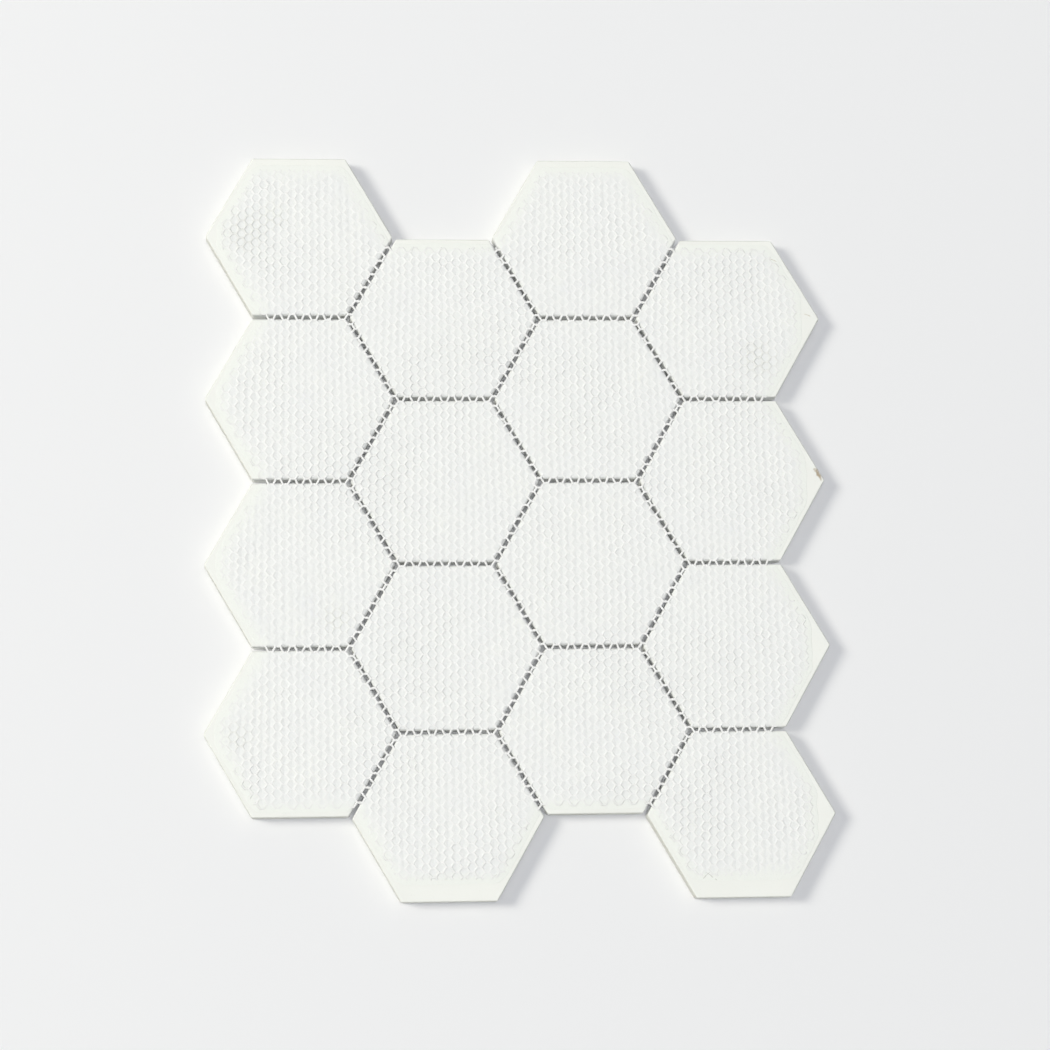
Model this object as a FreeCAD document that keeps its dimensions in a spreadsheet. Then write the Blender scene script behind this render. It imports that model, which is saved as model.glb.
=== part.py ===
import FreeCAD, Part
import itertools
import math
import os

import Sketcher

# A sheet of sixteen pressed porcelain hexagon tiles, held together by a knitted net that is
# glued to their backs. The sheet lies as it is unpacked for laying: faces down, net up.
# X runs across the columns, Y along them, and Z up from the faces. Lengths are millimetres.

COLUMNS = 4
ROWS = 4
SIDES = 6

SIZES = [
    ("TileAcrossFlats", 65.5),     # flat to flat, at the face
    ("TileThickness", 7.0),        # face to back
    ("JointWidth", 1.3),           # between two tiles, at their faces
    ("DraftAngle", 1.5),           # degrees that the pressed walls lean in towards the back
    ("CornerRadius", 1.5),         # the six upright corners
    ("FaceBevel", 0.6),            # eased edge round the glazed face
    ("BackArris", 0.4),            # small bevel round the back
    ("NetThickness", 0.5),         # net and its skin of glue
    ("NetColumnPitch", 2.9),       # from one wale of meshes to the next, across the sheet
    ("NetRowPitch", 3.7),          # from mesh to mesh along a wale
    ("NetKnotLength", 1.9),        # flat run where two strands are knitted together
    ("NetStrandWidth", 0.6),       # one strand, seen from above
    ("NetEdgeInset", 3.4),         # net edge to the edge of the outer tiles, all round
    ("NetCutLeft", 6.3),           # straight cuts of the net: from the leftmost tile points
    ("NetCutRight", 9.0),          # from the rightmost tile points
    ("NetCutTop", 4.4),            # from the top edge of the upper tiles
    ("NetCutBottom", 8.4),         # from the bottom edge of the lower tiles
    ("NetCornerRadius", 6.0),      # the net's outward corners
]

PITCH = "(Sizes.TileAcrossFlats + Sizes.JointWidth)"
ORIGIN = FreeCAD.Vector(0, 0, 0)
UP = FreeCAD.Vector(0, 0, 1)
FLAT = 1e-6


def make_size_sheet(doc):
    """The driving dimensions, one row each: name, value."""
    sheet = doc.addObject("Spreadsheet::Sheet", "Sizes")
    for row, (name, value) in enumerate(SIZES, start=1):
        sheet.set(f"A{row}", name)
        sheet.set(f"B{row}", str(value))
        sheet.setAlias(f"B{row}", name)
    doc.recompute()
    return sheet


def half_drop(column):
    """Every second column lies half a pitch lower, so each is a quarter off the middle."""
    return 0.25 if column % 2 == 0 else -0.25


def origin_plane(body, role):
    for feature in body.Origin.OriginFeatures:
        if feature.Role == role:
            return feature


def hexagon_points(across_flats):
    """Corners of a hexagon whose points face left and right."""
    reach = across_flats / 2 / math.cos(math.pi / SIDES)
    points = []
    for corner in range(SIDES):
        angle = 2 * math.pi * corner / SIDES
        points.append(FreeCAD.Vector(reach * math.cos(angle), reach * math.sin(angle), 0))
    return points


def draw_hexagon_sketch(body, sheet):
    """A regular hexagon held by the circle that its sides touch."""
    sketch = body.newObject("Sketcher::SketchObject", body.Name + "_outline")
    sketch.AttachmentSupport = [(origin_plane(body, "XY_Plane"), "")]
    sketch.MapMode = "FlatFace"
    points = hexagon_points(sheet.TileAcrossFlats)
    for corner in range(SIDES):
        sketch.addGeometry(Part.LineSegment(points[corner], points[(corner + 1) % SIDES]), False)
    circle = sketch.addGeometry(Part.Circle(ORIGIN, UP, sheet.TileAcrossFlats / 2), True)
    sketch.addConstraint(Sketcher.Constraint("Coincident", circle, 3, -1, 1))
    for side in range(SIDES):
        sketch.addConstraint(Sketcher.Constraint("Coincident", side, 2, (side + 1) % SIDES, 1))
        sketch.addConstraint(Sketcher.Constraint("Tangent", side, circle))
    for side in range(1, SIDES):
        sketch.addConstraint(Sketcher.Constraint("Equal", 0, side))
    sketch.addConstraint(Sketcher.Constraint("Horizontal", 1))
    diameter = sketch.addConstraint(Sketcher.Constraint("Diameter", circle, sheet.TileAcrossFlats))
    sketch.renameConstraint(diameter, "AcrossFlats")
    sketch.setExpression("Constraints.AcrossFlats", "Sizes.TileAcrossFlats")
    return sketch


def wall_faces(shape):
    """The walls, which are the only faces that reach most of the way up."""
    walls = []
    for number, face in enumerate(shape.Faces, start=1):
        if face.BoundBox.ZLength > shape.BoundBox.ZLength / 2:
            walls.append(f"Face{number}")
    return walls


def corner_edges(shape):
    """The edges where two walls meet."""
    corners = []
    for number, edge in enumerate(shape.Edges, start=1):
        if edge.BoundBox.ZLength > shape.BoundBox.ZLength / 2:
            corners.append(f"Edge{number}")
    return corners


def level_face(shape, height):
    for number, face in enumerate(shape.Faces, start=1):
        box = face.BoundBox
        if box.ZLength < FLAT and abs(box.ZMin - height) < FLAT:
            return [f"Face{number}"]


def make_tile(doc, sheet, column, row):
    """One pressed tile, face down: drafted walls, bevelled back, eased face edge, round corners."""
    name = f"tile_column{column + 1}_row{row + 1}"
    body = doc.addObject("PartDesign::Body", name)
    body.Label = name

    pad = body.newObject("PartDesign::Pad", name + "_pressing")
    pad.Profile = draw_hexagon_sketch(body, sheet)
    pad.setExpression("Length", "Sizes.TileThickness")
    doc.recompute()

    draft = body.newObject("PartDesign::Draft", name + "_draft")
    draft.Base = (pad, wall_faces(pad.Shape))
    draft.NeutralPlane = (origin_plane(body, "XY_Plane"), [""])
    draft.setExpression("Angle", "Sizes.DraftAngle")
    doc.recompute()

    arris = body.newObject("PartDesign::Chamfer", name + "_back_arris")
    arris.Base = (draft, level_face(draft.Shape, sheet.TileThickness))
    arris.setExpression("Size", "Sizes.BackArris")
    doc.recompute()

    eased = body.newObject("PartDesign::Chamfer", name + "_face_edge")
    eased.Base = (arris, level_face(arris.Shape, 0))
    eased.setExpression("Size", "Sizes.FaceBevel")
    doc.recompute()

    corners = body.newObject("PartDesign::Fillet", name + "_corners")
    corners.Base = (eased, corner_edges(eased.Shape))
    corners.setExpression("Radius", "Sizes.CornerRadius")

    body.setExpression("Placement.Base.x", f"{PITCH} * cos(30) * ({column} - {(COLUMNS - 1) / 2})")
    body.setExpression("Placement.Base.y", f"{PITCH} * ({(ROWS - 1) / 2 + half_drop(column)} - {row})")
    doc.recompute()
    return body


def tile_pitch(sheet):
    return sheet.TileAcrossFlats + sheet.JointWidth


def tile_centres(sheet):
    """The centres of all tiles, at the same pitch as their placements."""
    pitch = tile_pitch(sheet)
    centres = []
    for column in range(COLUMNS):
        for row in range(ROWS):
            x = pitch * math.cos(math.pi / SIDES) * (column - (COLUMNS - 1) / 2)
            y = pitch * ((ROWS - 1) / 2 + half_drop(column) - row)
            centres.append(FreeCAD.Vector(x, y, 0))
    return centres


def offset_sharp(face, distance):
    """The face grown by the distance, with its corners kept sharp."""
    return face.makeOffset2D(distance, join=2)


def closed_wire(points):
    return Part.makePolygon(points + points[:1])


def net_outline(sheet):
    """The net keeps inside the outer tiles' edges, is cut straight and has rounded corners."""
    cells = []
    for centre in tile_centres(sheet):
        cell = Part.Face(closed_wire(hexagon_points(tile_pitch(sheet))))
        cell.translate(centre)
        cells.append(cell)
    whole = cells[0].multiFuse(cells[1:]).removeSplitter().Faces[0]
    follows_tiles = offset_sharp(whole, -sheet.NetEdgeInset - sheet.JointWidth / 2)
    tiles = offset_sharp(whole, -sheet.JointWidth / 2).BoundBox
    width = tiles.XLength - sheet.NetCutLeft - sheet.NetCutRight
    length = tiles.YLength - sheet.NetCutBottom - sheet.NetCutTop
    corner = FreeCAD.Vector(tiles.XMin + sheet.NetCutLeft, tiles.YMin + sheet.NetCutBottom, 0)
    cut = follows_tiles.common(Part.makePlane(width, length, corner)).Faces[0]
    return offset_sharp(cut, -sheet.NetCornerRadius).makeOffset2D(sheet.NetCornerRadius)


def gap_half_width(sheet):
    """Half of a joint as it shows between two backs: draft and arris open it up."""
    lean = sheet.TileThickness * math.tan(math.radians(sheet.DraftAngle))
    return sheet.JointWidth / 2 + lean + sheet.BackArris


def junction_reach(sheet):
    """How far the opening at a junction runs into each joint, short of the round corners."""
    return gap_half_width(sheet) / math.sqrt(2)


def junction_mesh(sheet, centre, away_from_tiles):
    """The mesh over a spot where three tiles meet, with one blunt end down each joint."""
    points = []
    for along in away_from_tiles:
        across = UP.cross(along) * gap_half_width(sheet)
        end = centre + along * junction_reach(sheet)
        points += [end - across, end + across]
    return points


def joint_meshes(sheet, middle, along, spacing, slant):
    """A row of meshes down one joint. The strands between them cross it, leaning to and fro."""
    across = UP.cross(along) * gap_half_width(sheet)
    lean = slant * gap_half_width(sheet)
    length = tile_pitch(sheet) * math.tan(math.pi / SIDES)
    run = length - 2 * junction_reach(sheet) - 2 * lean - sheet.NetStrandWidth
    count = round(run / spacing)
    half_mesh = (run / count - sheet.NetStrandWidth) / 2
    meshes = []
    for number in range(count):
        centre = middle + along * (run / count * (number - (count - 1) / 2))
        sign = 1 if number % 2 else -1
        wide = along * (half_mesh + sign * lean)
        narrow = along * (half_mesh - sign * lean)
        meshes.append([
            centre - wide - across,
            centre + wide - across,
            centre + narrow + across,
            centre - narrow + across,
        ])
    return meshes


def net_meshes(sheet):
    """The meshes stay open where the net crosses a joint; over the tiles the glue fills them."""
    slant = (sheet.NetColumnPitch - sheet.NetKnotLength) / (sheet.NetRowPitch / 2)
    diagonal_spacing = math.hypot(sheet.NetColumnPitch, 1.5 * sheet.NetRowPitch) / 2
    neighbour = 1.01 * tile_pitch(sheet)
    meshes = []
    for first, second in itertools.combinations(tile_centres(sheet), 2):
        step = second - first
        if step.Length < neighbour:
            along = UP.cross(step).normalize()
            middle = (first + second) / 2
            if abs(step.x) < FLAT:
                meshes += joint_meshes(sheet, middle, along, sheet.NetColumnPitch, slant)
            else:
                meshes += joint_meshes(sheet, middle, along, diagonal_spacing, 0)
    for three in itertools.combinations(tile_centres(sheet), 3):
        centre = (three[0] + three[1] + three[2]) / 3
        if all((tile - centre).Length < neighbour / math.sqrt(3) for tile in three):
            away = sorted((centre - tile for tile in three), key=lambda way: math.atan2(way.y, way.x))
            meshes.append(junction_mesh(sheet, centre, [way.normalize() for way in away]))
    return meshes


def make_net(doc, sheet):
    """The backing net with its skin of glue, flat on the tile backs and bridging the joints."""
    outline = net_outline(sheet)
    inside = offset_sharp(outline, -sheet.NetStrandWidth)
    open_meshes = []
    for mesh in net_meshes(sheet):
        if all(inside.isInside(point, FLAT, True) for point in mesh):
            open_meshes.append(closed_wire(mesh))
    profile = doc.addObject("Part::Feature", "net_profile")
    profile.Shape = Part.makeFace([outline.OuterWire] + open_meshes, "Part::FaceMakerBullseye")
    net = doc.addObject("Part::Extrusion", "backing_net")
    net.Label = "backing_net"
    net.Base = profile
    net.DirMode = "Normal"
    net.Solid = True
    net.setExpression("LengthFwd", "Sizes.NetThickness")
    net.setExpression("Placement.Base.z", "Sizes.TileThickness")
    doc.recompute()
    return net


def check_document(doc):
    for item in doc.Objects:
        for trouble in ("Invalid", "Error"):
            if trouble in item.State:
                raise RuntimeError(f"{item.Name} is in state {trouble}")


def main():
    doc = FreeCAD.newDocument("hexagon_mosaic_sheet")
    sheet = make_size_sheet(doc)
    pieces = [make_tile(doc, sheet, column, row) for column in range(COLUMNS) for row in range(ROWS)]
    pieces.append(make_net(doc, sheet))
    doc.recompute()
    check_document(doc)
    os.makedirs("parts", exist_ok=True)
    for piece in pieces:
        if piece.Shape.isNull() or not piece.Shape.isValid():
            raise RuntimeError(f"{piece.Label} has no valid shape")
        piece.Shape.exportStep(f"parts/{piece.Label}.step")


main()
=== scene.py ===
import math

import bmesh
import bpy
import numpy as np
from mathutils import Euler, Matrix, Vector, noise


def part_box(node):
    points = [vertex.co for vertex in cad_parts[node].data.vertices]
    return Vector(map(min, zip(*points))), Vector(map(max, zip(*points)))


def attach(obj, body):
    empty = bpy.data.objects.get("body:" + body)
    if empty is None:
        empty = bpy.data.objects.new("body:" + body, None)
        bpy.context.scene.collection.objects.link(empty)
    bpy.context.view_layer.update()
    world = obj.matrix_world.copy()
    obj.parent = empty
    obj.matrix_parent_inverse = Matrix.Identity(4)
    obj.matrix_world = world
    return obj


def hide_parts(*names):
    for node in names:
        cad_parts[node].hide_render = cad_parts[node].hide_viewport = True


# A sheet of sixteen porcelain hexagon tiles lies face down. A knitted net is stuck to their
# backs with white dispersion glue and bridges the joints between them. Lengths are metres.

MM = 0.001
SAME_PLACE = 0.001 * MM        # points nearer than this are one
MATH = "ShaderNodeMath"
VECTOR_MATH = "ShaderNodeVectorMath"
COMBINE = "ShaderNodeCombineXYZ"
SEPARATE = "ShaderNodeSeparateXYZ"
SPREAD = "ShaderNodeMapRange"
NOISE = "ShaderNodeTexNoise"
BLEND = "ShaderNodeMix"

# Camera: the photograph's view, nearly straight down, with a long lens
CAMERA_PLACE = Vector((-74, -156, 989)) * MM
CAMERA_TURN_DEG = (9.0, -4.33, -0.9)
CAMERA_LENS = 85.7
CAMERA_SENSOR = 36

# Light: one soft lamp at the left, and a pale room with a bright ceiling
LAMP_AZIMUTH_DEG = 167
LAMP_HEIGHT_DEG = 40
LAMP_DISTANCE = 5.0
LAMP_SIZE = 1.7
LAMP_WATTS = 131
LAMP_COLOUR = "FFFDF3"
ROOM_COLOUR = "F8FAFF"
ROOM_AT_HORIZON = 0.30         # the room's light comes mostly from above
ROOM_OVERHEAD = 8.07
ROOM_FOCUS = 40                # and falls off with this power of the height
FLOOR_HALF_WIDTH = 6.0
FLOOR_HEIGHT = -0.02 * MM      # just clear of the faces that lie on it
FLOOR_COLOUR = "F2F2F2"
BACKDROP_COLOUR = "F3F3F3"

# The tiles
TILE_COLUMNS = 4
TILE_ROWS = 4
ARRIS_DEPTH = 0.4 * MM         # the back's edge is broken by so much
GLAZE_TOP = 0.9 * MM           # the glaze of the face ends at this height
JOINT_REACH = 37.5 * MM        # a second tile's middle is nearer than this at a joint
JOINT_BLUR = 3 * MM
GLAZE_BLUR = 0.2 * MM
EASE_START = 0.05 * MM         # the face's edge is eased between these heights
EASE_END = 0.35 * MM
PRESSED_ROUGHNESS = (0.52, 0.64)    # the bare back and sides, least and most
FACE_ROUGHNESS = 0.16          # the glaze on the flat of the face
EASE_ROUGHNESS = 0.55          # and on its eased edge
STAIN_TILE = (3, 1)            # a brown touch at the right corner of this column and row
STAIN_PLACE = Vector((35.0, 2.6, -0.2)) * MM
STAIN_TURN_DEG = -60
STAIN_SIZE = Vector((3.0, 0.9, 2.0)) * MM
STAIN_GRAIN = 0.9 * MM
STAIN_RAGGED = 0.35            # how ragged its edge is, as a share of its size
STAIN_STRENGTH = 0.75
STAIN_COLOUR = "8F7445"

# The knitted net, on the pitch of the tiles
COLUMNS_PER_TILE = 20          # meshes from one tile column to the next
ROWS_PER_TILE = 18             # half meshes along half a tile pitch
KNOT_LENGTH = 1.9 * MM         # two yarns run twisted together
YARN_WIDTH = 0.92 * MM
YARN_HEIGHT = 0.36 * MM
KNOT_SPREAD = 0.15 * MM        # each yarn of a knot from its middle line
KNOT_LIFT = 0.05 * MM          # how far the twist lifts a yarn
KNOT_SINK = 0.09 * MM          # how much deeper a knot lies in the glue
YARN_MIDDLE = 0.20 * MM        # above the tile backs
STEPS_PER_COLUMN = 6           # points along a yarn from one knot column to the next
YARN_SIDES = 6
SIDE_DRIFT = 0.48 * MM         # the net drifts to and fro between the joints
JOINT_PULL = 0.30 * MM         # it is pulled apart where it crosses a joint
SLACK = 0.80 * MM              # slow unevenness of the whole net
SLACK_LENGTH = 45 * MM
FRAY = 0.40 * MM               # quick unevenness
FRAY_LENGTH = 7 * MM
HEAVE = 0.20                   # share of both that goes up and down
RIM_PRESS = 0.3                # the net's rim is pressed to this share of its height
RIM_WIDTH = 5 * MM
BANDS = 5                      # the net is stored in bands, to keep each mesh small

# The glue that the net lies in
GLUE_DEPTH = 0.27 * MM
GLUE_RIPPLE = 0.05 * MM
GLUE_RIPPLE_LENGTH = 9 * MM
GLUE_THIN = 0.01 * MM          # what is left of it where it ends outside the net
GLUE_BEYOND = 1.5 * MM         # it goes on so far beyond that edge
GLUE_FADE = 6.0 * MM           # and thins out over this width
GLUE_FADE_WOBBLE = 0.5 * MM
GLUE_FADE_WOBBLE_LENGTH = 5 * MM
GLUE_LIP = 0.10 * MM           # how thick it is where it ends at a joint
GLUE_LIP_WIDTH = 1.1 * MM
GLUE_OVERRUN = 0.10 * MM       # it creeps over the edge of the tile at a joint
GLUE_OVERRUN_WOBBLE = 0.14 * MM
GLUE_OVERRUN_LENGTH = 1.6 * MM
GLUE_ROUGHNESS = (0.42, 0.6)   # least and most
GLUE_RINGS = 16
GLUE_RAYS = 180
CELL_HOLLOW = 0.17 * MM        # the glue dries hollow in the middle of each mesh
CHANNEL_SHARE = 0.5            # and partly over the knots, along each column of meshes
THIN_RIM = 5 * MM              # the glue is thin so near to the net's edge
DRY_RIM = 3.5 * MM             # and the yarn stays partly dry so near to it
RIM_DRYNESS = 0.4
LEAN_DRYNESS = 0.5             # the same where little glue was spread
LEAN_DEPTH = 0.04 * MM         # and there the glue is thinner by so much
LEAN_STEEPNESS = 1.6           # how sharply such a patch ends
HOLLOW_FROM = -0.8             # the field of the meshes is about this under the yarns
HOLLOW_TO = 3.0                # and this in the middle of a mesh

# What is kept on the points of the glue and of the yarns
GLUE_FILM = "glue_film"        # 0 where the glue is thinnest, 1 where it is full
DRY_YARN = "dry_yarn"          # 0 where the yarn is soaked, 1 where it is dry

# Loose threads and hairs
THREAD_BOW = 0.12              # how far they bow aside, as a share of their length
TAIL_THICKNESS = 0.18 * MM
HAIR_THICKNESS = 0.14 * MM

# The middle part of a smooth noise, which each pattern spreads over its own range
NOISE_LOW = 0.3
NOISE_HIGH = 0.7

# How deep the finest relief is
PRESS_GRAIN_DEPTH = 0.02 * MM
FIBRE_DEPTH = 0.03 * MM

# How wide the patterns of the finishes are, in millimetres
PORCELAIN_CLOUDS = 30
PORCELAIN_SPECKS = 0.7
PORCELAIN_EDGE_SHADE = 1.5
PORCELAIN_DULLNESS = 4
PORCELAIN_GRAIN = 0.5
GLUE_CLOUDS = 12
GLUE_FILLED_MESHES = 3.5
GLUE_DULLNESS = 2.5
GLUE_LUMPS = 0.9
YARN_CLOUDS = 6
YARN_FIBRES = 0.25
THREAD_CLOUDS = 0.8

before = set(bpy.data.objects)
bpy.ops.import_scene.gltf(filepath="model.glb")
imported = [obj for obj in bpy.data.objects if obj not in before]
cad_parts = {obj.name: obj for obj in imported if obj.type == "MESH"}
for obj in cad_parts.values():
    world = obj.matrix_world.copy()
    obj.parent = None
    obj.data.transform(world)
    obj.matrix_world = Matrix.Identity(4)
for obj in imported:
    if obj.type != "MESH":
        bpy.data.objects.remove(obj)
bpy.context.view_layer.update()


def colour(hex_code):
    """An sRGB hex value as linear red, green, blue and alpha."""
    channels = [int(hex_code[at:at + 2], 16) / 255 for at in (0, 2, 4)]
    linear = [c / 12.92 if c <= 0.04045 else ((c + 0.055) / 1.055) ** 2.4 for c in channels]
    return (*linear, 1.0)


def add(tree, kind, inputs=(), **settings):
    """Adds a node. Its inputs are given in order, or by name or number, each as a value, as a
    socket, or as a node, which stands for its first output."""
    made = tree.nodes.new(kind)
    for name, value in settings.items():
        setattr(made, name, value)
    given = inputs.items() if isinstance(inputs, dict) else enumerate(inputs)
    for socket, value in given:
        if isinstance(value, bpy.types.Node):
            value = value.outputs[0]
        if isinstance(value, bpy.types.NodeSocket):
            tree.links.new(value, made.inputs[socket])
        else:
            made.inputs[socket].default_value = value
    return made


# The tiles' places, from the frame

def tile_name(column, row):
    return f"tile_column{column + 1}_row{row + 1}"


def centre_of(node):
    low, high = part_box(node)
    return (low + high) / 2


TILE_NAMES = [tile_name(column, row) for column in range(TILE_COLUMNS) for row in range(TILE_ROWS)]
CENTRES = {name: centre_of(name) for name in TILE_NAMES}
FIRST_TILE = CENTRES[tile_name(0, 0)]
TILE_PITCH = (CENTRES[tile_name(0, 1)] - FIRST_TILE).length
COLUMN_STEP = CENTRES[tile_name(1, 0)].x - FIRST_TILE.x
BACK_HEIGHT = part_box(tile_name(0, 0))[1].z
NET_LOW, NET_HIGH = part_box("backing_net")
MESH_COLUMN = COLUMN_STEP / COLUMNS_PER_TILE
MESH_HALF_ROW = TILE_PITCH / 2 / ROWS_PER_TILE


def on_tile(column, row, right, up):
    """A spot on a tile's back, so many millimetres from its middle."""
    middle = CENTRES[tile_name(column, row)]
    return Vector((middle.x + right * MM, middle.y + up * MM, BACK_HEIGHT))


# Where little glue was spread, so that the yarns show grey: the middle, and the reach
LEAN_PATCHES = (
    (on_tile(0, 0, -21, 2), 12 * MM),
    (on_tile(0, 0, -11, 8), 8 * MM),
    (on_tile(3, 0, 13, -17), 10 * MM),
    (on_tile(0, 2, 15, -21), 9 * MM),
    (on_tile(0, 3, -25, -1), 8 * MM),
)


def net_outline():
    """The net's outer edge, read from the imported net: the longest loop round its top."""
    shape = bmesh.new()
    shape.from_mesh(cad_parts["backing_net"].data)
    bmesh.ops.remove_doubles(shape, verts=shape.verts, dist=SAME_PLACE)
    lower = [face for face in shape.faces if face.normal.z < 0.5]
    bmesh.ops.delete(shape, geom=lower, context="FACES")
    waiting = {edge for edge in shape.edges if edge.is_boundary}
    loops = []
    while waiting:
        edge = waiting.pop()
        start, corner = edge.verts
        loop = [start.co.copy()]
        while corner != start:
            loop.append(corner.co.copy())
            edge = next(e for e in corner.link_edges if e in waiting)
            waiting.remove(edge)
            corner = edge.other_vert(corner)
        loops.append(loop)
    shape.free()

    def length_round(loop):
        return sum((loop[i] - loop[i - 1]).length for i in range(len(loop)))
    return max(loops, key=length_round)


OUTLINE = net_outline()
OUTLINE_FLAT = np.array([[point.x, point.y] for point in OUTLINE])


def new_object(name, data):
    made = bpy.data.objects.new(name, data)
    bpy.context.scene.collection.objects.link(made)
    return made


def mesh_from(name, points, faces):
    mesh = bpy.data.meshes.new(name)
    mesh.from_pydata(points, [], faces)
    mesh.update()
    return mesh


# How the net lies, for its own mesh and for the hollows in the glue

LIE = {
    "Column Pitch": MESH_COLUMN,
    "Half Row": MESH_HALF_ROW,
    "Tile Column Step": COLUMN_STEP,
    "Tile Pitch": TILE_PITCH,
    "Side Drift": SIDE_DRIFT,
    "Joint Pull": JOINT_PULL,
    "Slack": SLACK,
    "Slack Length": SLACK_LENGTH,
    "Fray": FRAY,
    "Fray Length": FRAY_LENGTH,
}


def wander(tree, place, length, amount):
    """A slow offset of the given amount, mostly sideways."""
    scale = add(tree, MATH, (1.0, length), operation="DIVIDE")
    drift = add(tree, NOISE, {"Vector": place, "Scale": scale, "Detail": 1.0}).outputs["Color"]
    centred = add(tree, VECTOR_MATH, (drift, (0.5, 0.5, 0.5)), operation="SUBTRACT")
    flat = add(tree, VECTOR_MATH, (centred, (2, 2, 2 * HEAVE)), operation="MULTIPLY")
    return add(tree, VECTOR_MATH, {0: flat, "Scale": amount}, operation="SCALE")


def beat_of_tiles(tree, x, y, lie):
    """A wave in step with the tiles: the product of one across their columns and one along."""
    across = add(tree, MATH, (x, lie["Tile Column Step"]), operation="DIVIDE")
    across = add(tree, MATH, (across, math.pi), operation="MULTIPLY")
    across = add(tree, MATH, (across,), operation="COSINE")
    endways = add(tree, MATH, (y, lie["Tile Pitch"]), operation="DIVIDE")
    endways = add(tree, MATH, (endways, 2 * math.pi), operation="MULTIPLY")
    endways = add(tree, MATH, (endways,), operation="COSINE")
    return add(tree, MATH, (across, endways), operation="MULTIPLY")


def pulled_open(tree, place, lie, turn):
    """The net opens where it crosses the joints that run one way: level joints with no turn,
    and slanted ones with a sixth of a turn more or less."""
    spin = {"Vector": place, "Center": FIRST_TILE, "Angle": turn}
    turned = add(tree, "ShaderNodeVectorRotate", spin, rotation_type="Z_AXIS")
    turned = add(tree, VECTOR_MATH, (turned, FIRST_TILE), operation="SUBTRACT")
    x, y = add(tree, SEPARATE, (turned,)).outputs[:2]
    at_joint = add(tree, MATH, (beat_of_tiles(tree, x, y, lie), 0.0), operation="MINIMUM")
    quarter = add(tree, MATH, (lie["Tile Pitch"], 4.0), operation="DIVIDE")
    other_quarter = add(tree, MATH, (quarter, -1.0), operation="MULTIPLY")
    from_joint = add(tree, MATH, (y, quarter, other_quarter), operation="WRAP")
    from_joint = add(tree, MATH, (from_joint, lie["Half Row"]), operation="DIVIDE")
    near = add(tree, "ShaderNodeClamp", (from_joint, -1.0, 1.0))
    near = add(tree, MATH, (near, -math.pi), operation="MULTIPLY")
    pull = add(tree, MATH, (near,), operation="SINE")
    pull = add(tree, MATH, (pull, at_joint), operation="MULTIPLY")
    pull = add(tree, MATH, (pull, lie["Joint Pull"]), operation="MULTIPLY")
    pull = add(tree, COMBINE, (0.0, pull, 0.0))
    back = {"Vector": pull, "Center": (0, 0, 0), "Angle": -turn}
    return add(tree, "ShaderNodeVectorRotate", back, rotation_type="Z_AXIS")


def settled(tree, place, lie):
    """How far the net is from a perfect one. It drifts sideways between the joints, opens where
    it crosses them, and wanders a little everywhere."""
    x, y = add(tree, SEPARATE, (place,)).outputs[:2]
    beat = beat_of_tiles(tree, x, y, lie)
    drift = add(tree, MATH, (beat, lie["Side Drift"]), operation="MULTIPLY")
    offset = add(tree, COMBINE, (drift, 0.0, 0.0))
    sixth = math.pi / 3
    for turn in (0, sixth, -sixth):
        offset = add(tree, VECTOR_MATH, (offset, pulled_open(tree, place, lie, turn)))
    slack = wander(tree, place, lie["Slack Length"], lie["Slack"])
    offset = add(tree, VECTOR_MATH, (offset, slack))
    fray = wander(tree, place, lie["Fray Length"], lie["Fray"])
    return add(tree, VECTOR_MATH, (offset, fray))


# Materials

def principled(name):
    made = bpy.data.materials.new(name)
    made.use_nodes = True
    tree = made.node_tree
    return made, tree, tree.nodes["Principled BSDF"]


def place_in_millimetres(tree):
    """The point on the piece, in millimetres from the sheet's middle."""
    where = add(tree, "ShaderNodeTexCoord").outputs["Object"]
    return add(tree, VECTOR_MATH, {0: where, "Scale": 1 / MM}, operation="SCALE")


def corner_stain(tree, where):
    """A rust-brown touch along the edge at the right corner of one tile, from 0 to 1."""
    corner = on_tile(*STAIN_TILE, 0, 0) + STAIN_PLACE
    turned = {
        "Vector": where,
        "Location": corner,
        "Rotation": (0, 0, math.radians(STAIN_TURN_DEG)),
        "Scale": STAIN_SIZE,
    }
    turned = add(tree, "ShaderNodeMapping", turned, vector_type="TEXTURE")
    away = add(tree, VECTOR_MATH, (turned,), operation="LENGTH").outputs["Value"]
    rough = add(tree, NOISE, {"Vector": where, "Scale": 1 / STAIN_GRAIN, "Detail": 3.0})
    rough = add(tree, SPREAD, (rough, NOISE_LOW, NOISE_HIGH, -STAIN_RAGGED, STAIN_RAGGED))
    away = add(tree, MATH, (away, rough))
    return add(tree, SPREAD, (away, 1.0, 0.5, 0.0, STAIN_STRENGTH))


def near_a_joint(tree, where):
    """1 on the sides of the tiles that face a joint, where two tiles are close, and 0 on the
    open edges of the sheet."""
    tiles_near = 0.0
    for centre in CENTRES.values():
        away = add(tree, VECTOR_MATH, (where, centre), operation="DISTANCE").outputs["Value"]
        near = add(tree, SPREAD, (away, JOINT_REACH + JOINT_BLUR, JOINT_REACH, 0.0, 1.0))
        tiles_near = add(tree, MATH, (near, tiles_near))
    return add(tree, "ShaderNodeClamp", (add(tree, MATH, (tiles_near, -1.0)), 0.0, 1.0))


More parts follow.
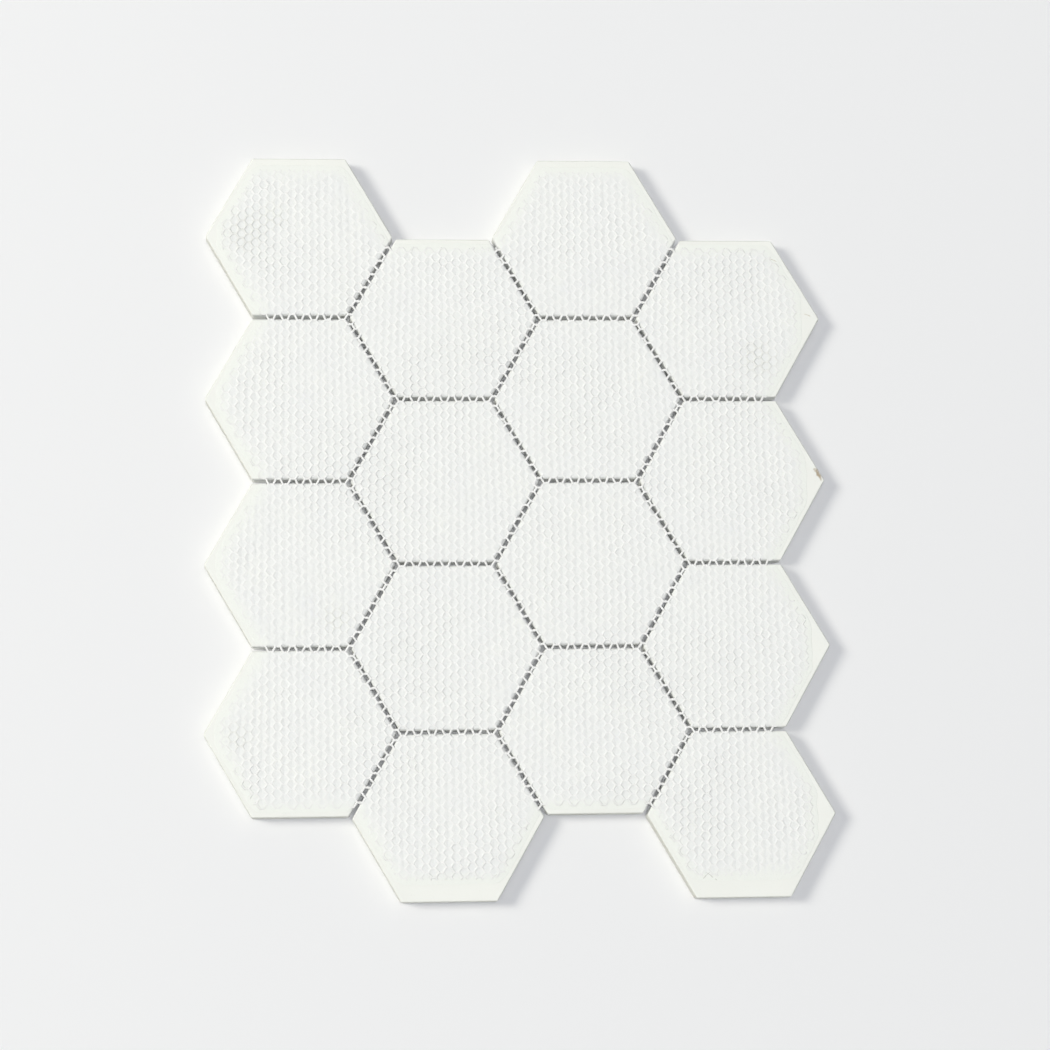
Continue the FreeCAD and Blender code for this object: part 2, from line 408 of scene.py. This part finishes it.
def pressed_porcelain():
    """Dust-pressed porcelain: the back is bare and matt from the press, with a fine grain. The
    sides at the open edges of the sheet carry a mottled painted shade, and glue has washed over
    those at the joints. The face that lies down has a smooth white glaze, thin and duller on the
    eased edge."""
    made, tree, shader = principled("porcelain_pressed_and_glazed")
    where = add(tree, "ShaderNodeTexCoord").outputs["Object"]
    place = place_in_millimetres(tree)
    height = add(tree, SEPARATE, (place,)).outputs[2]
    bare_from = (GLAZE_TOP + GLAZE_BLUR) / MM
    glazed_to = (GLAZE_TOP - GLAZE_BLUR) / MM
    glazed = add(tree, SPREAD, (height, bare_from, glazed_to, 0.0, 1.0))
    cloud = add(tree, NOISE, {"Vector": place, "Scale": 1 / PORCELAIN_CLOUDS})
    cloud = add(tree, SPREAD, (cloud, 0.35, 0.65, 0.0, 1.0))
    blend = {"Factor": cloud, 6: colour("F3F4ED"), 7: colour("F6F7F0")}
    bare = add(tree, BLEND, blend, data_type="RGBA").outputs[2]
    speck = add(tree, NOISE, {"Vector": place, "Scale": 1 / PORCELAIN_SPECKS, "Detail": 3.0})
    speck = add(tree, SPREAD, (speck, 0.62, 0.75, 0.0, 0.25))
    bare = add(tree, BLEND, {"Factor": speck, 6: bare, 7: colour("DEDDD2")}, data_type="RGBA")

    top = BACK_HEIGHT / MM
    arris = ARRIS_DEPTH / MM
    side = add(tree, SPREAD, (height, top - 0.1 * arris, top - arris, 0.0, 1.0))
    blend = {"Factor": side, 6: bare.outputs[2], 7: colour("F8F9F7")}
    washed = add(tree, BLEND, blend, data_type="RGBA").outputs[2]
    # Painted shade: the sides at the open edges of the sheet are darkened towards grey, a little
    # mottled.
    edge_shade = add(tree, NOISE, {"Vector": place, "Scale": 1 / PORCELAIN_EDGE_SHADE, "Detail": 3.0})
    edge_shade = add(tree, SPREAD, (edge_shade, NOISE_LOW, NOISE_HIGH, 0.7, 1.0))
    edge_shade = add(tree, MATH, (edge_shade, side), operation="MULTIPLY")
    blend = {"Factor": edge_shade, 6: bare.outputs[2], 7: colour("CBCBC1")}
    edge_shaded = add(tree, BLEND, blend, data_type="RGBA").outputs[2]
    blend = {"Factor": near_a_joint(tree, where), 6: edge_shaded, 7: washed}
    bare = add(tree, BLEND, blend, data_type="RGBA").outputs[2]
    blend = {"Factor": corner_stain(tree, where), 6: bare, 7: colour(STAIN_COLOUR)}
    bare = add(tree, BLEND, blend, data_type="RGBA").outputs[2]
    blend = {"Factor": glazed, 6: bare, 7: colour("F4F4F1")}
    skin = add(tree, BLEND, blend, data_type="RGBA").outputs[2]
    tree.links.new(skin, shader.inputs["Base Color"])

    dull = add(tree, NOISE, {"Vector": place, "Scale": 1 / PORCELAIN_DULLNESS})
    dull = add(tree, SPREAD, (dull, NOISE_LOW, NOISE_HIGH, *PRESSED_ROUGHNESS))
    ease = (height, EASE_START / MM, EASE_END / MM, FACE_ROUGHNESS, EASE_ROUGHNESS)
    gloss = add(tree, SPREAD, ease)
    dullness = add(tree, MATH, (dull, gloss), operation="MINIMUM")
    tree.links.new(dullness.outputs[0], shader.inputs["Roughness"])
    shader.inputs["IOR"].default_value = 1.5
    grain = add(tree, NOISE, {"Vector": place, "Scale": 1 / PORCELAIN_GRAIN, "Detail": 4.0})
    smooth = add(tree, MATH, (1.0, glazed), operation="SUBTRACT")
    grain = add(tree, MATH, (grain, smooth), operation="MULTIPLY")
    relief = {"Height": grain, "Distance": PRESS_GRAIN_DEPTH, "Strength": 0.6}
    bump = add(tree, "ShaderNodeBump", relief)
    tree.links.new(bump.outputs[0], shader.inputs["Normal"])
    return made


def middle_of_mesh(tree, where):
    """How hollow the glue is at a point: 0 under the yarns, 1 in the middle of each mesh, and
    less over the knots, which join the meshes of a column into one channel."""
    offset = settled(tree, where, LIE)
    straight = add(tree, VECTOR_MATH, (where, offset), operation="SUBTRACT")
    x, y = add(tree, SEPARATE, (straight,)).outputs[:2]
    column = add(tree, MATH, (x, math.pi / MESH_COLUMN), operation="MULTIPLY")
    row = add(tree, MATH, (y, math.pi / MESH_HALF_ROW, -math.pi / 2), operation="MULTIPLY_ADD")
    column_cosine = add(tree, MATH, (column,), operation="COSINE")
    row_cosine = add(tree, MATH, (row,), operation="COSINE")
    double_turn = add(tree, MATH, (column, 2.0), operation="MULTIPLY")
    double = add(tree, MATH, (double_turn,), operation="COSINE")
    both = add(tree, MATH, (column_cosine, row_cosine), operation="MULTIPLY")
    cell = add(tree, MATH, (both, -2.0, double), operation="MULTIPLY_ADD")
    sway = add(tree, MATH, (column,), operation="SINE")
    sway = add(tree, MATH, (sway, row_cosine), operation="MULTIPLY")
    swing = math.pi * (1 - KNOT_LENGTH / MESH_COLUMN)
    channel = add(tree, MATH, (sway, swing, double_turn), operation="MULTIPLY_ADD")
    channel = add(tree, MATH, (channel,), operation="COSINE")
    channel = add(tree, MATH, (channel, 2.0, 1.0), operation="MULTIPLY_ADD")
    field = add(tree, BLEND, {"Factor": CHANNEL_SHARE, 2: cell, 3: channel}, data_type="FLOAT")
    return add(tree, SPREAD, (field, HOLLOW_FROM, HOLLOW_TO, 0.0, 1.0))


def dispersion_glue():
    """White dispersion glue, rolled on wet and dried: a dull skin that is hollow in each mesh of
    the net, whiter than the body, and mottled where it is thick or thin. A painted shade makes the
    hollow middle of each mesh a little greyer."""
    made, tree, shader = principled("dispersion_glue_rolled")
    where = add(tree, "ShaderNodeTexCoord").outputs["Object"]
    place = place_in_millimetres(tree)
    cloud = add(tree, NOISE, {"Vector": place, "Scale": 1 / GLUE_CLOUDS, "Detail": 3.0})
    cloud = add(tree, SPREAD, (cloud, NOISE_LOW, NOISE_HIGH, 0.0, 1.0))
    blend = {"Factor": cloud, 6: colour("F0F1F0"), 7: colour("F5F6F0")}
    skin = add(tree, BLEND, blend, data_type="RGBA").outputs[2]
    film = add(tree, "ShaderNodeAttribute", attribute_name=GLUE_FILM).outputs["Fac"]
    skin = add(tree, BLEND, {"Factor": film, 6: colour("F4F6EF"), 7: skin}, data_type="RGBA")
    middle = middle_of_mesh(tree, where)
    filled = {"Vector": place, "Scale": 1 / GLUE_FILLED_MESHES, "Detail": 2.0}
    filled = add(tree, NOISE, filled)
    filled = add(tree, SPREAD, (filled, 0.35, 0.65, 1.0, 0.3))
    middle = add(tree, MATH, (middle, filled), operation="MULTIPLY")
    middle = add(tree, MATH, (middle, film), operation="MULTIPLY")
    # Painted shade: the hollow middle of each mesh is made a shade greyer.
    hollow_shade = add(tree, SPREAD, (middle, 0.05, 0.45, 0.0, 1.0))
    blend = {"Factor": hollow_shade, 6: skin.outputs[2], 7: colour("F0F1EE")}
    skin = add(tree, BLEND, blend, data_type="RGBA").outputs[2]
    tree.links.new(skin, shader.inputs["Base Color"])
    dull = add(tree, NOISE, {"Vector": place, "Scale": 1 / GLUE_DULLNESS})
    dull = add(tree, SPREAD, (dull, NOISE_LOW, NOISE_HIGH, *GLUE_ROUGHNESS))
    tree.links.new(dull.outputs[0], shader.inputs["Roughness"])
    shader.inputs["IOR"].default_value = 1.47
    lumps = add(tree, NOISE, {"Vector": place, "Scale": 1 / GLUE_LUMPS, "Detail": 3.0})
    lumps = add(tree, MATH, (lumps, 0.8), operation="MULTIPLY")
    relief = add(tree, MATH, (lumps, middle), operation="SUBTRACT")
    bump = add(tree, "ShaderNodeBump", {"Height": relief, "Distance": CELL_HOLLOW, "Strength": 1.0})
    tree.links.new(bump.outputs[0], shader.inputs["Normal"])
    return made


def knitted_polyester():
    """Bright polyester yarn, warp knitted and heat set: white where the glue has soaked it, with
    a soft sheen, and greyer where it stayed dry."""
    made, tree, shader = principled("polyester_yarn_knitted")
    place = place_in_millimetres(tree)
    cloud = add(tree, NOISE, {"Vector": place, "Scale": 1 / YARN_CLOUDS})
    cloud = add(tree, SPREAD, (cloud, NOISE_LOW, NOISE_HIGH, 0.0, 1.0))
    blend = {"Factor": cloud, 6: colour("F4F4F1"), 7: colour("F8F8F5")}
    skin = add(tree, BLEND, blend, data_type="RGBA").outputs[2]
    dry = add(tree, "ShaderNodeAttribute", attribute_name=DRY_YARN).outputs["Fac"]
    skin = add(tree, BLEND, {"Factor": dry, 6: skin, 7: colour("E6E7E0")}, data_type="RGBA")
    tree.links.new(skin.outputs[2], shader.inputs["Base Color"])
    shader.inputs["Roughness"].default_value = 0.55
    shader.inputs["IOR"].default_value = 1.5
    relief = add(tree, NOISE, {"Vector": place, "Scale": 1 / YARN_FIBRES})
    relief = {"Height": relief, "Distance": FIBRE_DEPTH, "Strength": 0.5}
    bump = add(tree, "ShaderNodeBump", relief)
    tree.links.new(bump.outputs[0], shader.inputs["Normal"])
    return made


# The knitted net

KNIT = {
    **LIE,
    "Knot Length": KNOT_LENGTH,
    "Knot Spread": KNOT_SPREAD,
    "Knot Lift": KNOT_LIFT,
    "Knot Sink": KNOT_SINK,
    "Yarn Width": YARN_WIDTH,
    "Yarn Height": YARN_HEIGHT,
    "Yarn Level": BACK_HEIGHT + YARN_MIDDLE,
    "First Row": 0.0,
}


def straight_yarns(tree, given, rows, steps):
    """Plain lines across the sheet, one for each row, with points in step with the knots."""
    step = add(tree, MATH, (given["Column Pitch"], STEPS_PER_COLUMN), operation="DIVIDE")
    start = add(tree, MATH, (step, -(steps // 2)), operation="MULTIPLY")
    along = {
        "Count": steps + 1,
        "Start Location": add(tree, COMBINE, (start,)).outputs[0],
        "Offset": add(tree, COMBINE, (step,)).outputs[0],
    }
    yarn = add(tree, "GeometryNodeMeshLine", along, mode="OFFSET")
    low = add(tree, MATH, (given["First Row"], given["Half Row"]), operation="MULTIPLY")
    up = {
        "Count": rows,
        "Start Location": add(tree, COMBINE, {1: low}).outputs[0],
        "Offset": add(tree, COMBINE, {1: given["Half Row"]}).outputs[0],
    }
    ladder = add(tree, "GeometryNodeMeshLine", up, mode="OFFSET")
    laid = {"Points": ladder.outputs[0], "Instance": yarn.outputs[0]}
    laid = add(tree, "GeometryNodeInstanceOnPoints", laid)
    return add(tree, "GeometryNodeRealizeInstances", (laid,))


def knit_wave(tree, given, place):
    """The offset that turns a straight yarn into a flat-topped wave. Each crest is twisted with
    the trough of the next yarn, which makes the knots of a net with six-sided meshes. The knots
    lie a little deeper in the glue than the yarns between them."""
    x, y = add(tree, SEPARATE, (place,)).outputs[:2]
    column = add(tree, MATH, (x, given["Column Pitch"]), operation="DIVIDE")
    row = add(tree, MATH, (y, given["Half Row"]), operation="DIVIDE")
    row = add(tree, MATH, (row,), operation="ROUND")
    turn = add(tree, MATH, (column, row))
    turn = add(tree, MATH, (turn, 1.0), operation="PINGPONG")
    knot_share = add(tree, MATH, (given["Knot Length"], given["Column Pitch"]), operation="DIVIDE")
    crest_end = add(tree, MATH, (knot_share, 2.0), operation="DIVIDE")
    trough = add(tree, MATH, (1.0, crest_end), operation="SUBTRACT")
    wave = add(tree, SPREAD, (turn, crest_end, trough, 1.0, -1.0))

    nearest = add(tree, MATH, (column,), operation="ROUND")
    in_knot = add(tree, MATH, (column, nearest), operation="SUBTRACT")
    in_knot = add(tree, MATH, (in_knot, knot_share), operation="DIVIDE")
    in_knot = add(tree, "ShaderNodeClamp", (in_knot, -0.5, 0.5))
    twist = add(tree, MATH, (in_knot, 2 * math.pi), operation="MULTIPLY")
    middle = add(tree, MATH, (twist,), operation="COSINE")
    aside = add(tree, MATH, (middle, given["Knot Spread"]), operation="MULTIPLY")
    sunk = add(tree, SPREAD, (middle, -1.0, 1.0, 0.0, given["Knot Sink"]))
    half_wave = add(tree, MATH, (given["Half Row"], 2.0), operation="DIVIDE")
    rise = add(tree, MATH, (half_wave, aside))
    rise = add(tree, MATH, (rise, wave), operation="MULTIPLY")
    lift = add(tree, MATH, (twist,), operation="SINE")
    lift = add(tree, MATH, (lift, wave), operation="MULTIPLY")
    lift = add(tree, MATH, (lift, given["Knot Lift"]), operation="MULTIPLY")
    level = add(tree, MATH, (lift, given["Yarn Level"]))
    level = add(tree, MATH, (level, sunk), operation="SUBTRACT")
    return add(tree, COMBINE, (0.0, rise, level))


def inside_outline(tree, outline, place):
    """Whether the point lies over the net's outline."""
    over = add(tree, VECTOR_MATH, (place, (0, 0, 1)))
    down = {
        "Target Geometry": outline,
        "Source Position": over,
        "Ray Direction": (0, 0, -1),
    }
    return add(tree, "GeometryNodeRaycast", down).outputs["Is Hit"]


def knit_tree(rows, steps, material):
    """The yarns of one band of the net, trimmed to its outline, as closed tubes."""
    tree = bpy.data.node_groups.new("knitted_net", "GeometryNodeTree")
    face = tree.interface
    face.new_socket("Outline", in_out="INPUT", socket_type="NodeSocketGeometry")
    for name, value in KNIT.items():
        face.new_socket(name, in_out="INPUT", socket_type="NodeSocketFloat").default_value = value
    face.new_socket("Net", in_out="OUTPUT", socket_type="NodeSocketGeometry")
    given = add(tree, "NodeGroupInput").outputs

    laid = straight_yarns(tree, given, rows, steps)
    place = add(tree, "GeometryNodeInputPosition")
    wave = knit_wave(tree, given, place)
    laid = add(tree, "GeometryNodeSetPosition", {0: laid, "Offset": wave})
    offset = settled(tree, place, given)
    laid = add(tree, "GeometryNodeSetPosition", {0: laid, "Offset": offset})
    inside = inside_outline(tree, given["Outline"], place)
    outside = add(tree, "FunctionNodeBooleanMath", (inside,), operation="NOT")
    laid = add(tree, "GeometryNodeDeleteGeometry", {0: laid, "Selection": outside})

    lines = add(tree, "GeometryNodeMeshToCurve", (laid,))
    lines = add(tree, "GeometryNodeSetCurveNormal", (lines,), mode="Z_UP")
    ring = add(tree, "GeometryNodeCurvePrimitiveCircle", {"Resolution": YARN_SIDES, "Radius": 0.5})
    width = add(tree, COMBINE, (given["Yarn Width"], given["Yarn Height"], 1.0))
    ring = add(tree, "GeometryNodeTransform", {0: ring, "Scale": width})
    tubes = {"Curve": lines, "Profile Curve": ring, "Fill Caps": True}
    tubes = add(tree, "GeometryNodeCurveToMesh", tubes)
    smooth = add(tree, "GeometryNodeSetShadeSmooth", (tubes,))
    whole = add(tree, "GeometryNodeRealizeInstances", (smooth,))
    painted = add(tree, "GeometryNodeSetMaterial", {0: whole, "Material": material})
    add(tree, "NodeGroupOutput", (painted,))
    return tree


def socket_id(tree, name):
    return next(item.identifier for item in tree.interface.items_tree if item.name == name)


def from_outline(places):
    """How far inside the net's edge each place is, and below 0 outside it."""
    nearest = np.full(len(places), np.inf)
    inside = np.zeros(len(places), dtype=bool)
    for start, end in zip(OUTLINE_FLAT, np.roll(OUTLINE_FLAT, -1, axis=0)):
        run = end - start
        offset = places - start
        share = np.clip(offset @ run / (run @ run), 0, 1)
        nearest = np.minimum(nearest, np.linalg.norm(offset - share[:, None] * run, axis=1))
        level = (start[1] > places[:, 1]) != (end[1] > places[:, 1])
        right = (offset[:, 0] * run[1] - offset[:, 1] * run[0]) * run[1] < 0
        inside ^= level & right
    return np.where(inside, nearest, -nearest)


def lean_share(places):
    """How little glue there is at each place, from 0 to 1."""
    share = np.zeros(len(places))
    for middle, reach in LEAN_PATCHES:
        away = np.linalg.norm(places - np.array(middle[:2]), axis=1)
        share = np.maximum(share, 1 - away / reach)
    return np.clip(LEAN_STEEPNESS * share, 0, 1)


def places_of(mesh):
    places = np.empty(len(mesh.vertices) * 3)
    mesh.vertices.foreach_get("co", places)
    return places.reshape(-1, 3)


def finish_band(mesh):
    """Presses the net's rim flat, and keeps on each point how dry the yarn stayed: in the lean
    patches and at the net's edge."""
    places = places_of(mesh)
    from_edge = from_outline(places[:, :2])
    press = RIM_PRESS + (1 - RIM_PRESS) * np.clip(from_edge / RIM_WIDTH, 0, 1)
    places[:, 2] = BACK_HEIGHT + (places[:, 2] - BACK_HEIGHT) * press
    mesh.vertices.foreach_set("co", places.ravel())
    at_edge = np.clip(1 - from_edge / DRY_RIM, 0, 1)
    dry = np.maximum(LEAN_DRYNESS * lean_share(places[:, :2]), RIM_DRYNESS * at_edge)
    mesh.attributes.new(DRY_YARN, "FLOAT", "POINT").data.foreach_set("value", dry)
    mesh.update()


def knitted_bands(material):
    """The whole net, band after band along the sheet."""
    half_width = max(-NET_LOW.x, NET_HIGH.x)
    columns = math.ceil(half_width / MESH_COLUMN) + 1
    steps = 2 * columns * STEPS_PER_COLUMN
    first = math.floor(NET_LOW.y / MESH_HALF_ROW) - 1
    last = math.ceil(NET_HIGH.y / MESH_HALF_ROW) + 1
    rows = math.ceil((last - first) / BANDS)
    tree = knit_tree(rows, steps, material)
    bands = []
    for number in range(BANDS):
        outline = mesh_from("net_outline", OUTLINE, [list(range(len(OUTLINE)))])
        base = new_object("net_outline", outline)
        modifier = base.modifiers.new("knit", "NODES")
        modifier.node_group = tree
        modifier[socket_id(tree, "First Row")] = float(first + number * rows)
        ready = base.evaluated_get(bpy.context.evaluated_depsgraph_get())
        band = bpy.data.meshes.new_from_object(ready)
        bpy.data.objects.remove(base)
        finish_band(band)
        bands.append(new_object(f"knitted_net_{number + 1}", band))
    return bands


# The glue under the net

def reach_to(points, centre, direction):
    """How far it is from the centre to the outline, that way."""
    first = points - centre
    second = np.roll(points, -1, axis=0) - centre
    edge = second - first
    cross = direction[0] * edge[:, 1] - direction[1] * edge[:, 0]
    cross[np.abs(cross) < 1e-12] = 1e-12
    reach = (first[:, 0] * edge[:, 1] - first[:, 1] * edge[:, 0]) / cross
    share = (first[:, 0] * direction[1] - first[:, 1] * direction[0]) / cross
    hit = (share >= 0) & (share <= 1) & (reach > 0)
    return reach[hit].min()


def back_hexagon(node):
    """The flat of a tile's back, as the corners of its outline."""
    corners = {}
    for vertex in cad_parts[node].data.vertices:
        if vertex.co.z > BACK_HEIGHT - SAME_PLACE:
            corners[(round(vertex.co.x, 7), round(vertex.co.y, 7))] = True
    middle = CENTRES[node]
    return np.array(sorted(corners, key=lambda at: math.atan2(at[1] - middle.y, at[0] - middle.x)))


def uneven(place, level, length):
    """Smooth noise from -1 to 1 at a place on the sheet."""
    return noise.noise(Vector((place[0], place[1], 0)) / length + Vector((0, 0, level)))


def glue_depth(place):
    """How thick the skin of glue is away from its edges."""
    depth = GLUE_DEPTH + GLUE_RIPPLE * uneven(place, 0, GLUE_RIPPLE_LENGTH)
    return depth - LEAN_DEPTH * lean_share(np.array([place]))[0]


def glue_skin(material):
    """One low skin on each tile. At a joint it ends in a soft lip that creeps over the tile's
    edge, and at the net's edge it fades out."""
    points = []
    faces = []
    for name in TILE_NAMES:
        add_skin(points, faces, name)
    skin = new_object("glue_skin", mesh_from("glue_skin", points, faces))
    skin.data.materials.append(material)
    skin.data.shade_smooth()
    film = np.clip(from_outline(places_of(skin.data)[:, :2]) / THIN_RIM, 0, 1)
    skin.data.attributes.new(GLUE_FILM, "FLOAT", "POINT").data.foreach_set("value", film)
    return skin


def add_skin(points, faces, node):
    middle = CENTRES[node]
    centre = np.array((middle.x, middle.y))
    hexagon = back_hexagon(node)
    first = len(points)
    points.append((middle.x, middle.y, BACK_HEIGHT + glue_depth(centre)))
    points.append((middle.x, middle.y, BACK_HEIGHT))
    for ray in range(GLUE_RAYS):
        angle = 2 * math.pi * ray / GLUE_RAYS
        way = np.array((math.cos(angle), math.sin(angle)))
        to_flat = reach_to(hexagon, centre, way)
        end = centre + way * to_flat
        to_lip = to_flat + GLUE_OVERRUN + GLUE_OVERRUN_WOBBLE * uneven(end, 1, GLUE_OVERRUN_LENGTH)
        to_fade = reach_to(OUTLINE_FLAT, centre, way) + GLUE_BEYOND
        to_fade += GLUE_FADE_WOBBLE * uneven(end, 2, GLUE_FADE_WOBBLE_LENGTH)
        reach = min(to_lip, to_fade)
        for ring in range(1, GLUE_RINGS + 1):
            out = reach * (1 - (1 - ring / GLUE_RINGS) ** 2)
            place = centre + way * out
            lip = min(1.0, (to_lip - out) / GLUE_LIP_WIDTH)
            fade = min(1.0, (to_fade - out) / GLUE_FADE)
            depth = GLUE_LIP + (glue_depth(place) - GLUE_LIP) * math.sin(lip * math.pi / 2)
            depth = GLUE_THIN + (depth - GLUE_THIN) * fade
            over_edge = max(0.0, out - to_flat)
            points.append((place[0], place[1], BACK_HEIGHT + depth - over_edge))
        points.append((place[0], place[1], BACK_HEIGHT - over_edge))
    per_ray = GLUE_RINGS + 1
    for ray in range(GLUE_RAYS):
        here = first + 2 + ray * per_ray
        there = first + 2 + (ray + 1) % GLUE_RAYS * per_ray
        faces.append((first, here, there))
        for ring in range(GLUE_RINGS):
            faces.append((here + ring, here + ring + 1, there + ring + 1, there + ring))
        faces.append((first + 1, there + GLUE_RINGS, here + GLUE_RINGS))


# Loose threads and hairs that lie on the backs

def loose_thread(name, start, end, thickness, material):
    """A short thread between two spots on a tile's back, bowed a little to one side."""
    curve = bpy.data.curves.new(name, "CURVE")
    curve.dimensions = "3D"
    curve.bevel_depth = thickness / 2
    curve.bevel_resolution = 1
    curve.use_fill_caps = True
    run = end - start
    bow = Vector((-run.y, run.x, 0)) * THREAD_BOW
    lift = Vector((0, 0, thickness / 2))
    line = curve.splines.new("NURBS")
    line.points.add(2)
    for point, place in zip(line.points, (start, (start + end) / 2 + bow, end)):
        point.co = (*(place + lift), 1.0)
    line.order_u = 3
    line.use_endpoint_u = True
    holder = new_object(name, curve)
    ready = holder.evaluated_get(bpy.context.evaluated_depsgraph_get())
    mesh = bpy.data.meshes.new_from_object(ready)
    bpy.data.objects.remove(holder)
    mesh.materials.clear()
    mesh.materials.append(material)
    return new_object(name, mesh)


# Yarn tails left where the net was cut: the two ends of each
YARN_TAILS = (
    (on_tile(3, 3, -16.0, -24.9), on_tile(3, 3, -12.0, -21.8)),
    (on_tile(3, 3, -15.6, -22.3), on_tile(3, 3, -12.3, -24.6)),
    (on_tile(3, 3, -11.4, -25.2), on_tile(3, 3, -10.7, -25.6)),
    (on_tile(1, 3, 16.9, -23.6), on_tile(1, 3, 18.6, -22.2)),
    (on_tile(1, 3, 19.3, -21.9), on_tile(1, 3, 19.9, -21.4)),
)

# Brown hairs
HAIRS = (
    (on_tile(3, 0, 16.4, 25.3), on_tile(3, 0, 20.8, 23.9)),
    (on_tile(3, 0, 26.3, 3.5), on_tile(3, 0, 28.3, 2.2)),
    (on_tile(3, 0, 31.6, 1.9), on_tile(3, 0, 34.0, 1.0)),
)


def thread_material(name, hex_code):
    """A dry thread: dull, with fine ribs along it too small to show, so only mottled."""
    made, tree, shader = principled(name)
    place = place_in_millimetres(tree)
    cloud = add(tree, NOISE, {"Vector": place, "Scale": 1 / THREAD_CLOUDS})
    cloud = add(tree, SPREAD, (cloud, NOISE_LOW, NOISE_HIGH, 0.0, 0.5))
    blend = {"Factor": cloud, 6: colour(hex_code), 7: colour("D9D8CE")}
    skin = add(tree, BLEND, blend, data_type="RGBA").outputs[2]
    tree.links.new(skin, shader.inputs["Base Color"])
    shader.inputs["Roughness"].default_value = 0.7
    return made


def loose_threads():
    # The cut yarn tails are painted grey: painted shade along the thin threads where they lie on
    # the backs.
    shaded_tail = thread_material("polyester_yarn_cut_shaded", "BDBDB0")
    hair = thread_material("cotton_hair_dyed", "B3A37E")
    made = []
    for number, (start, end) in enumerate(YARN_TAILS):
        made.append(loose_thread(f"yarn_tail_{number + 1}", start, end, TAIL_THICKNESS, shaded_tail))
    for number, (start, end) in enumerate(HAIRS):
        made.append(loose_thread(f"brown_hair_{number + 1}", start, end, HAIR_THICKNESS, hair))
    return made


# The room

def make_floor():
    """A plain pale floor that holds the shadow."""
    half = FLOOR_HALF_WIDTH
    level = [(-half, -half), (half, -half), (half, half), (-half, half)]
    corners = [(x, y, FLOOR_HEIGHT) for x, y in level]
    floor = new_object("floor", mesh_from("floor", corners, [(0, 1, 2, 3)]))
    made, tree, shader = principled("floor_paint_matt")
    shader.inputs["Base Color"].default_value = colour(FLOOR_COLOUR)
    shader.inputs["Roughness"].default_value = 0.9
    shader.inputs["Specular IOR Level"].default_value = 0.2
    floor.data.materials.append(made)


def make_room():
    """The room lights mostly from above, and shows as a pale backdrop to the camera and in
    reflections."""
    world = bpy.data.worlds.new("room")
    bpy.context.scene.world = world
    world.use_nodes = True
    tree = world.node_tree
    tree.nodes.clear()
    path = add(tree, "ShaderNodeLightPath").outputs
    seen = (path["Is Camera Ray"], path["Is Glossy Ray"])
    seen = add(tree, MATH, seen, operation="MAXIMUM")
    seen = add(tree, MATH, (seen, path["Is Transmission Ray"]), operation="MAXIMUM")
    way = add(tree, "ShaderNodeTexCoord").outputs["Generated"]
    height = add(tree, SEPARATE, (way,)).outputs[2]
    height = add(tree, MATH, (height, 0.0), operation="MAXIMUM")
    overhead = add(tree, MATH, (height, ROOM_FOCUS), operation="POWER")
    strength = add(tree, SPREAD, (overhead, 0.0, 1.0, ROOM_AT_HORIZON, ROOM_OVERHEAD))
    light = {"Color": colour(ROOM_COLOUR), "Strength": strength}
    light = add(tree, "ShaderNodeBackground", light)
    shown = {"Color": colour(BACKDROP_COLOUR), "Strength": 1.0}
    shown = add(tree, "ShaderNodeBackground", shown)
    mixed = add(tree, "ShaderNodeMixShader", (seen, light, shown))
    add(tree, "ShaderNodeOutputWorld", (mixed,))


def make_lamp():
    data = bpy.data.lights.new("soft_lamp", "AREA")
    data.shape = "DISK"
    data.size = LAMP_SIZE
    data.energy = LAMP_WATTS
    data.color = colour(LAMP_COLOUR)[:3]
    lamp = new_object("soft_lamp", data)
    around = math.radians(LAMP_AZIMUTH_DEG)
    above = math.radians(LAMP_HEIGHT_DEG)
    level = math.cos(above)
    way = Vector((math.cos(around) * level, math.sin(around) * level, math.sin(above)))
    lamp.location = way * LAMP_DISTANCE
    lamp.rotation_euler = way.to_track_quat("Z", "Y").to_euler()


def make_camera():
    data = bpy.data.cameras.new("camera")
    data.lens = CAMERA_LENS
    data.sensor_width = CAMERA_SENSOR
    data.clip_start = 10 * MM
    camera = new_object("camera", data)
    camera.location = CAMERA_PLACE
    camera.rotation_euler = Euler([math.radians(turn) for turn in CAMERA_TURN_DEG])
    bpy.context.scene.camera = camera


def main():
    bpy.context.scene.view_settings.view_transform = "Standard"
    porcelain = pressed_porcelain()
    for name in TILE_NAMES:
        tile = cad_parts[name]
        tile.data.materials.clear()
        tile.data.materials.append(porcelain)

    bands = knitted_bands(knitted_polyester())
    skin = glue_skin(dispersion_glue())
    for piece in [skin, *bands, *loose_threads()]:
        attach(piece, "root")
    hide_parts("backing_net")

    make_floor()
    make_room()
    make_lamp()
    make_camera()


main()
